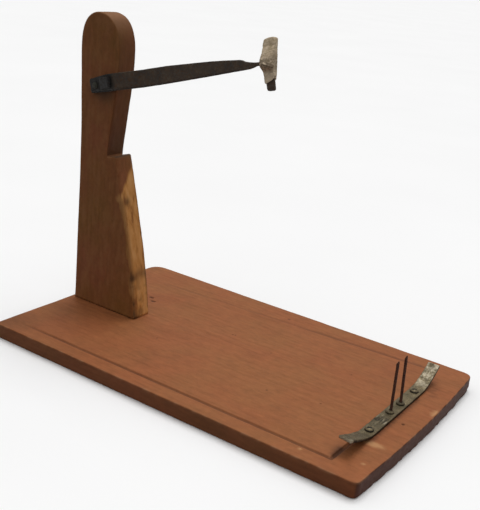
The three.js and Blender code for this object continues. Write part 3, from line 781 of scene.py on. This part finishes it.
def make_arm(material):
    """The forged strap and its tang: hammered faces and a bevelled lower border."""
    piece = worn_copy("arm_strap_worn", "arm_strap", voxel=0.7, relax=2)
    points = mesh_points(piece.data)
    normals = mesh_normals(piece.data)
    reach = points - TANG
    along = reach[:, 0] * math.cos(ARM_RISE) + reach[:, 2] * math.sin(ARM_RISE)
    up = reach[:, 2] * math.cos(ARM_RISE) - reach[:, 0] * math.sin(ARM_RISE)
    from_tail = along - along.min()
    station = (from_tail / 4).astype(int)
    lowest = np.full(station.max() + 1, np.inf)
    np.minimum.at(lowest, station, up)
    from_low = up - lowest[station]
    near = ease(-normals[:, 1], 0.4, 0.9)
    strap = ease(-along, 22, 40)
    bevel = np.clip(2.2 - from_low, 0, 2.2) * 0.5 - 0.3 * glow(from_low - 2.8, 0.8)
    side = ease(np.abs(normals[:, 1]), 0.5, 0.9)
    hammered = 0.3 * lumps(points, size=14, seed=7, octaves=2)
    hammered += 0.12 * lumps(points, size=4, seed=8, octaves=2)
    uneven = 0.12 * lumps(points, size=7, seed=9, octaves=2)
    push(piece, side * hammered * (0.3 + 0.7 * strap) + uneven - near * strap * bevel)
    tail = 1 - ease(from_tail, 30, 38)
    # painted shade along the near face's lower border; the tail painted near black
    border = near * strap * glow(from_low - 1, 1) * (1 - tail)
    paint(piece, "soot_and_shade", 0.95 * tail + 0.6 * border)
    place(piece, "stand", "black_iron", material, "arm_strap")


def make_cradle(material):
    """The curved strip: pitted faces, a bright far end and near corner, and a wet patch with streaks."""
    piece = worn_copy("cradle_strip_worn", "cradle_strip", voxel=0.6, relax=2)
    points = mesh_points(piece.data)
    normals = mesh_normals(piece.data)
    low, high = corners("cradle_strip")
    pitted = 0.22 * lumps(points, size=9, seed=10, octaves=2)
    pitted += 0.12 * lumps(points, size=2.5, seed=11, octaves=2)
    push(piece, pitted)
    from_near, from_far = points[:, 1] - low[1], high[1] - points[:, 1]
    far_end = ease(-from_far, -44, -18) * ease(normals[:, 2], 0.3, 0.6)
    near_corner = ease(-from_near, -9, -3) * ease(points[:, 0], low[0] + 9, high[0])
    near_edge = ease(-from_near, -6, -3) * ease(-normals[:, 1], 0.55, 0.8)
    wet = glow(points[:, 1] + 31, 9) * ease(normals[:, 2], 0.5, 0.8)
    streak = lumps(points * (2.5, 0.4, 1), size=6, seed=18, octaves=2)
    paint(piece, "bright", np.clip(far_end + 0.8 * near_corner, 0, 1))
    paint(piece, "scraped", np.clip(0.75 * near_edge + 0.9 * wet * ease(streak, 0.3, 0.5), 0, 1))
    paint(piece, "soot_and_shade", 0.75 * wet * ease(-streak, -0.2, 0.1))
    place(piece, "stand", "grey_iron", material, "cradle_strip")


def screw_slot_dirt_and_rim_shadow(points):
    """Dirt in a round head's slot, and a painted shadow along the half of its rim that faces the front and
    near side.
    """
    off = points[:, :2] - points[:, :2].mean(0)
    across = np.abs(off[:, 1] * math.cos(SLOT_TURN) - off[:, 0] * math.sin(SLOT_TURN))
    far = np.linalg.norm(off, axis=1)
    # painted shadow on the half of the rim that faces the front and near side
    rim = ease(far, 3.6, 4.3) * ease(off[:, 0] - off[:, 1], -3, 2)
    slot = ease(-across, -1.5, -0.9) * ease(-far, -3.4, -2)
    return np.maximum(0.95 * slot, 0.85 * rim)


def make_small_iron(finishes):
    """Screws, nails and their collars, each a fine worn copy of its CAD solid."""
    for number, (node, (slot, finish)) in enumerate(SMALL_IRON.items()):
        piece = worn_copy(node + "_worn", node, voxel=0.3, relax=1)
        points = mesh_points(piece.data)
        if node in ("spike_1", "spike_2"):
            # the nail's tip is bent a little to the front
            tip = points[:, 2].max()
            points[:, 0] += 0.7 * ease(points[:, 2], tip - 4, tip)
            set_points(piece, points)
        if node.startswith("cradle_screw"):
            paint(piece, "soot_and_shade", screw_slot_dirt_and_rim_shadow(points))
        fine = lumps(points, size=2.5, seed=20 + number, octaves=2)
        broad = lumps(points, size=6, seed=30 + number, octaves=2)
        push(piece, 0.1 * fine + 0.08 * broad)
        place(piece, "stand", slot, finishes[finish], node)


# ---------------------------------------------------------------- head

HEAD_AXES = np.array(Matrix.Rotation(-ARM_RISE, 3, "Y") @ Matrix.Rotation(-HEAD_TURN, 3, "X"))


def head_frame(points):
    """Points in the crescent's own frame: X along the arm, Z up the crescent, Y from near to far."""
    return (points - TANG) @ HEAD_AXES


def from_head_frame(local):
    return local @ HEAD_AXES.T + TANG


def make_head_bar(material):
    piece = worn_copy("head_bar_worn", "head_bar", voxel=0.4, relax=2)
    push(piece, 0.15 * lumps(mesh_points(piece.data), size=5, seed=12, octaves=2))
    place(piece, "head", "black_iron", material, "head_bar")


def shape_tape(local):
    """The tape's slanting lower border, its upper corner and its rounded bulge, in the head's frame."""
    local[:, 2] += 0.42 * local[:, 0] * ease(-local[:, 2], 10, 17)
    local[:, 2] -= 1.6 * ease(-local[:, 0], 1, 6.5) * ease(local[:, 2], 18, 25)
    local[:, 0] -= 1.5 * ease(-local[:, 0], 1, 5) * ease(local[:, 2], 10, 21)
    bulge = np.maximum(0, 2.4 - local[:, 1])
    round_off = 1 - np.sqrt(1 - np.clip((local[:, 0] - 2.3) / 4.9, 0, 0.98) ** 2)
    local[:, 1] += bulge * (round_off + 0.3 * ease(-local[:, 0], 4, 7))


def make_tape(material):
    """Cloth tape wound round the bar, with a slanting cut end and a fold across its face."""
    pitch = 11  # from one turn of the tape to the next
    piece = worn_copy("tape_wrap", "head_wrap", voxel=0.5, relax=16)
    local = head_frame(mesh_points(piece.data))
    shape_tape(local)
    set_points(piece, from_head_frame(local))
    normals = mesh_normals(piece.data) @ HEAD_AXES
    along, _, up = local.T
    # how much a place faces away from the bar, and its share of the way through one turn of tape
    middle = np.stack([along, local[:, 1] - BAR_MIDDLE], 1)
    radial = middle / np.maximum(np.linalg.norm(middle, axis=1), 0.1)[:, None]
    outer = ease((normals[:, :2] * radial).sum(1), 0, 0.4)
    turn = up / pitch - np.arctan2(middle[:, 0], -middle[:, 1]) / (2 * math.pi)
    layer = turn - np.floor(turn)
    # the fold: a ridge over a crease, at its fullest where it stands open
    fold = up + 2.6 + 0.4 * (along - 1)
    face = ease(-normals[:, 1], 0.1, 0.5) * ease(along, -2.5, -0.5)
    open_fold = glow(along - 0.6, 2.4)
    ridge = (0.5 + 0.5 * open_fold) * glow(fold - 0.6, 0.6)
    crease = face * (ridge - 0.6 * glow(fold + 0.6, 0.5))
    lumpy = 0.3 * lumps(local, size=6, seed=13, octaves=2) + 0.12 * lumps(local, size=2, seed=14, octaves=2)
    thinner = 0.5 * ease(-up, 9, 15) * ease(np.abs(normals[:, 1]), 0.4, 0.8)
    push(piece, outer * (0.25 * layer + crease + lumpy - thinner))
    # darker overlaps of the turns, and a painted shadow just under the fold
    overlaps_and_fold_shadow = 0.2 * ease(layer, 0.14, 0.02) + 0.5 * face * glow(fold + 0.7, 0.5)
    specks = glow(up + 1, 8) * np.clip(lumps(local, size=1.6, seed=15, octaves=2) + 0.3, 0, 1)
    greyed = 0.25 * glow(up - 4, 6)
    # a painted highlight along the fold's ridge, where it stands open
    fold_highlight = face * open_fold * glow(fold - 1.1, 0.7)
    dirt_and_shade = np.clip(outer * (overlaps_and_fold_shadow + specks + greyed), 0, 0.8)
    paint(piece, "dirt_and_shade", dirt_and_shade * (1 - fold_highlight))
    paint(piece, "pale_and_highlight", np.maximum(0.6 * ease(-up, 5, 9), fold_highlight))
    place(piece, "head", "cloth_tape", material, "head_wrap")


# ---------------------------------------------------------------- camera, light and floor

def make_camera():
    """The photo's camera, fitted to the board's corners and the upright post."""
    data = bpy.data.cameras.new("camera")
    data.sensor_width = 36
    data.lens = 60.83
    camera = link("camera", data)
    eye = Vector((462.45, -727.1, 427.6))
    azimuth, elevation, roll = (math.radians(angle) for angle in (32.77, 19.25, 5.77))
    turn = (Matrix.Rotation(azimuth, 4, "Z") @ Matrix.Rotation(math.pi / 2 - elevation, 4, "X")
            @ Matrix.Rotation(roll, 4, "Z"))
    camera.matrix_world = Matrix.Translation(eye * MM) @ turn
    bpy.context.scene.camera = camera


def make_sky():
    """A soft dome that is brightest overhead, dim below the horizon."""
    world = bpy.data.worlds.new("studio")
    bpy.context.scene.world = world
    world.use_nodes = True
    tree = world.node_tree
    tree.nodes.clear()
    here = tree.nodes.new("ShaderNodeTexCoord")
    split = tree.nodes.new("ShaderNodeSeparateXYZ")
    dome = tree.nodes.new("ShaderNodeValToRGB")
    height = tree.nodes.new("ShaderNodeMapRange")
    shine = tree.nodes.new("ShaderNodeBackground")
    out = tree.nodes.new("ShaderNodeOutputWorld")
    tree.links.new(here.outputs["Generated"], split.inputs[0])
    height.inputs["From Min"].default_value = -1
    tree.links.new(split.outputs[2], height.inputs[0])
    tree.links.new(height.outputs[0], dome.inputs[0])
    horizon, overhead = 0.32, 0.92
    stops = [(0.0, 0.05), (0.48, 0.08), (0.52, horizon)]
    rises = [math.sin(math.radians(angle)) for angle in (20, 40, 60, 90)]
    stops += [((1 + rise) / 2, horizon + (overhead - horizon) * rise ** 2) for rise in rises]
    fill_ramp(dome, stops)
    tree.links.new(dome.outputs[0], shine.inputs[0])
    tree.links.new(shine.outputs[0], out.inputs[0])


def make_lamp():
    """A broad soft lamp high up behind the post."""
    data = bpy.data.lights.new("lamp", "SUN")
    data.energy = 0.4 * math.pi
    data.angle = math.radians(32)
    lamp = link("lamp", data)
    azimuth, elevation = math.radians(105), math.radians(72)
    level = math.cos(elevation)
    to_lamp = Vector((level * math.cos(azimuth), level * math.sin(azimuth), math.sin(elevation)))
    lamp.rotation_euler = (-to_lamp).to_track_quat("-Z", "Y").to_euler()


def make_floor():
    """A wide pale floor."""
    finish = Finish("pale_floor")
    cloudy = finish.noise(size=400, detail=2)
    tone = finish.ramp(cloudy, (0.3, 0.94), (0.7, 0.96))
    finish.done(tone, 0.9, 0, finish.bump(cloudy, 0.1, 0.1))
    mesh = bpy.data.meshes.new("floor")
    shape = bmesh.new()
    bmesh.ops.create_circle(shape, cap_ends=True, segments=96, radius=60)
    shape.to_mesh(mesh)
    shape.free()
    mesh.materials.append(finish.material)
    floor = link("floor", mesh)
    floor.location.z = -0.2 * MM
    floor.visible_diffuse = False


# ---------------------------------------------------------------- assembly

make_camera()
make_sky()
make_lamp()
make_floor()
bpy.context.scene.view_settings.view_transform = "Standard"

finishes = {name: iron_finish(name, **look) for name, look in IRON.items()}
hidden = {
    "post_screw_1": "hidden_steel", "post_screw_2": "hidden_steel",
    "tang_washer": "hidden_steel", "head_socket": "black_iron",
}
for node, finish in hidden.items():
    frame["nodes"][node].material_slots[0].material = finishes[finish]

make_board(board_finish())
make_post(post_finish())
make_arm(finishes["black_iron"])
make_cradle(finishes["grey_iron"])
make_small_iron(finishes)
make_head_bar(finishes["black_iron"])
make_tape(tape_finish())
